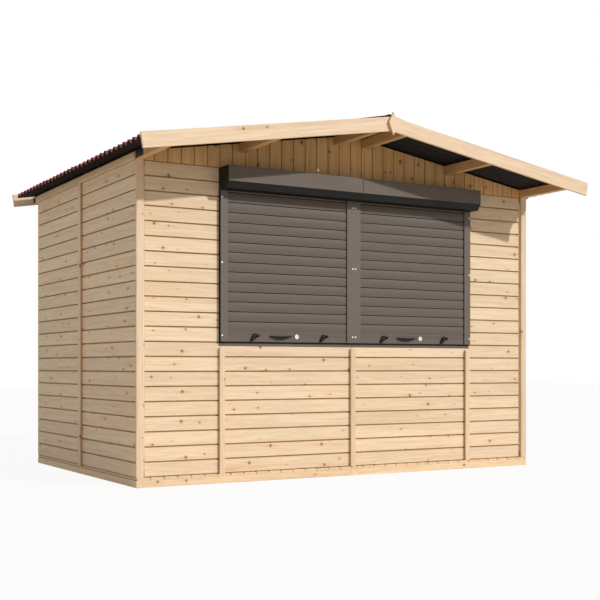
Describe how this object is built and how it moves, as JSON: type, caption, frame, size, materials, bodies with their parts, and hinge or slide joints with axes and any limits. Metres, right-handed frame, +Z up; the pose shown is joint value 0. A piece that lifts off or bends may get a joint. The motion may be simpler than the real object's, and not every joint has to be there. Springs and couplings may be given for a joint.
{
  "type": "market stall",
  "caption": "Softwood market stall with a low gable roof of red corrugated sheets, boarded walls and closed roller shutters in front over a sill.",
  "frame": {"origin": "middle of the bounding box, on the ground under the base", "axes": "+X to the right seen from the front, +Y to the rear, +Z up; the serving side faces -Y"},
  "size_m": [3.3446, 2.604, 2.3038],
  "materials": {
    "pine_boards": "planed pine shiplap boards, clear, with small knots",
    "pine_gable": "planed upright pine boards, clear",
    "pine_trim": "planed pine, fine grain",
    "pine_purlin": "planed pine beams",
    "pine_frame": "planed pine joists",
    "pine_floor": "planed pine floor boards",
    "roof_sheet": "fibrous bitumen sheet, red on top and black below",
    "ridge_cap": "fibrous bitumen cap, red on top",
    "shutter_box": "anthracite powder coat, fine texture",
    "shutter_slats": "anthracite lacquered slats, satin",
    "guide_rail": "anthracite powder coat, fine texture",
    "sill": "plain extruded sill, satin",
    "seal": "soft black rubber",
    "hardware": "black, satin",
    "lock": "polished"
  },
  "bodies": {
    "root": {"left_joists": "pine_frame", "left_rails": "pine_frame", "right_joists": "pine_frame", "right_rails": "pine_frame", "left_floor": "pine_floor", "right_floor": "pine_floor", "front_wall_left": "pine_boards", "front_wall_right": "pine_boards", "front_wall_below_left": "pine_boards", "front_wall_below_right": "pine_boards", "hatch_posts": "pine_boards", "centre_post": "pine_boards", "hatch_header": "pine_boards", "left_wall_front": "pine_boards", "left_wall_rear": "pine_boards", "right_wall_front": "pine_boards", "right_wall_rear": "pine_boards", "rear_wall_left": "pine_boards", "rear_wall_right": "pine_boards", "front_gable_left": "pine_gable", "front_gable_right": "pine_gable", "rear_gable_left": "pine_gable", "rear_gable_right": "pine_gable", "corner_trims": "pine_trim", "front_battens": "pine_trim", "side_battens": "pine_trim", "rear_battens": "pine_trim", "frieze_boards": "pine_trim", "ridge_purlins": "pine_purlin", "middle_purlins": "pine_purlin", "eave_purlins": "pine_purlin", "purlin_plates": "hardware", "left_roof_sheets": "roof_sheet", "right_roof_sheets": "roof_sheet", "ridge_cap": "ridge_cap", "front_bargeboard_left": "pine_trim", "front_bargeboard_right": "pine_trim", "rear_bargeboard_left": "pine_trim", "rear_bargeboard_right": "pine_trim", "finials": "pine_trim", "shutter_box_left": "shutter_box", "shutter_box_right": "shutter_box", "shutter_end_caps": "shutter_box", "shutter_rolls": "shutter_slats", "guide_rails": "guide_rail", "shutter_curtain_left": "shutter_slats", "shutter_curtain_right": "shutter_slats", "bottom_bar_left": "shutter_slats", "bottom_bar_right": "shutter_slats", "shutter_seals": "seal", "shutter_sills": "sill", "bow_handles": "hardware", "turn_latches": "hardware", "shutter_locks": "lock"}
  },
  "joints": []
}
